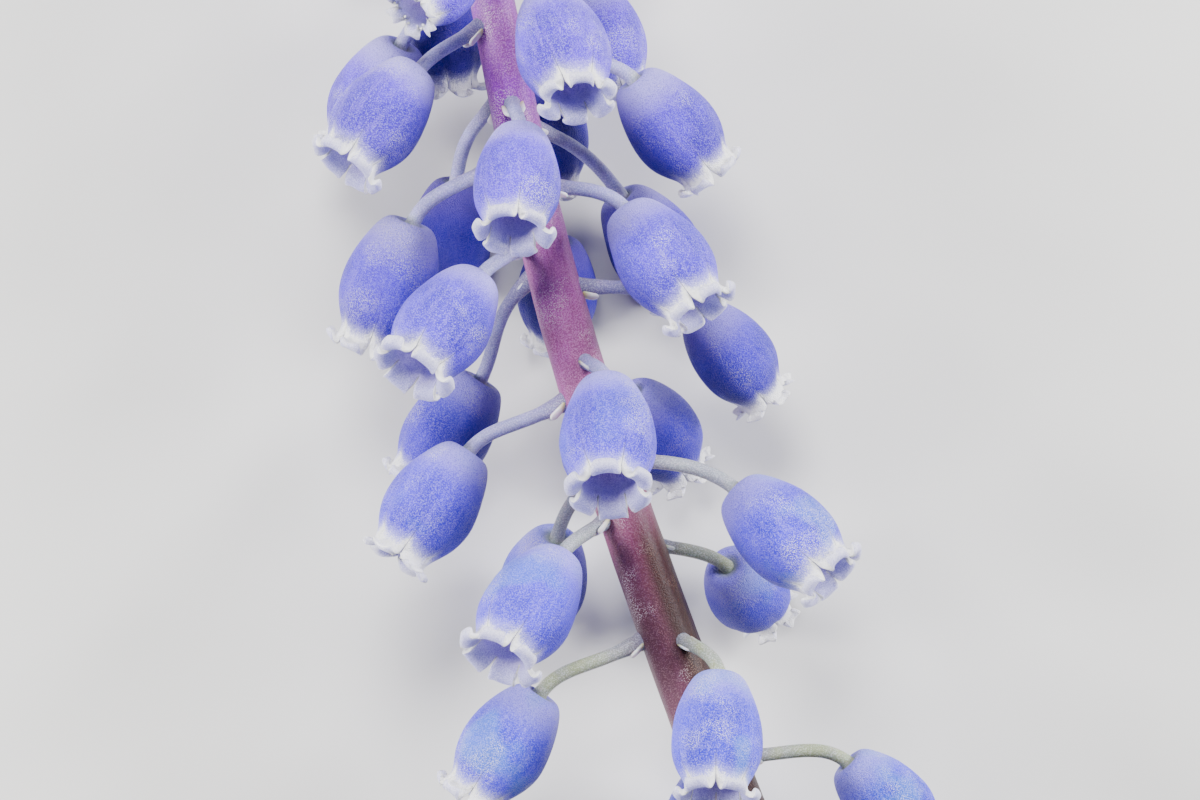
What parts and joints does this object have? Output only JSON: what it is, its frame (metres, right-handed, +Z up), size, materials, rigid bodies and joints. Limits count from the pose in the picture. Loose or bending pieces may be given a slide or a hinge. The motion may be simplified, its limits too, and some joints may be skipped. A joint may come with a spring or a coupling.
{
  "type": "grape hyacinth flower",
  "caption": "Picked grape hyacinth raceme lying down: hanging urn florets with white turned-out teeth on arched pedicels, buds at the tip, bare scape with a cut end.",
  "frame": {"origin": "centre of the footprint of the lying flower, on the surface it rests on", "axes": "+Y along the scape from the cut end to the tip of the raceme, +X to the right of it seen from above, +Z up from the surface"},
  "size_m": [0.02, 0.0842, 0.0147],
  "materials": {
    "floret": "satin",
    "young_floret": "satin",
    "scape": "satin"
  },
  "bodies": {
    "root": {"floret_01": "floret", "floret_02": "floret", "floret_03": "floret", "floret_04": "floret", "floret_05": "floret", "floret_06": "floret", "floret_07": "floret", "floret_08": "floret", "floret_09": "floret", "floret_10": "floret", "floret_11": "floret", "floret_12": "floret", "floret_13": "floret", "floret_14": "floret", "floret_15": "floret", "floret_16": "floret", "floret_17": "floret", "floret_18": "floret", "floret_19": "floret", "floret_20": "floret", "floret_21": "floret", "floret_22": "floret", "floret_23": "floret", "floret_24": "floret", "floret_25": "floret", "floret_26": "floret", "floret_27": "floret", "floret_28": "floret", "floret_29": "floret", "floret_30": "floret", "floret_31": "floret", "young_floret_01": "young_floret", "young_floret_02": "young_floret", "young_floret_03": "young_floret", "young_floret_04": "young_floret", "young_floret_05": "young_floret", "young_floret_06": "young_floret", "young_floret_07": "young_floret", "young_floret_08": "young_floret", "young_floret_09": "young_floret", "young_floret_10": "young_floret", "young_floret_11": "young_floret", "young_floret_12": "young_floret", "young_floret_13": "young_floret", "young_floret_14": "young_floret", "young_floret_15": "young_floret", "young_floret_16": "young_floret", "bud_knot": "young_floret", "scape": "scape"}
  },
  "joints": []
}
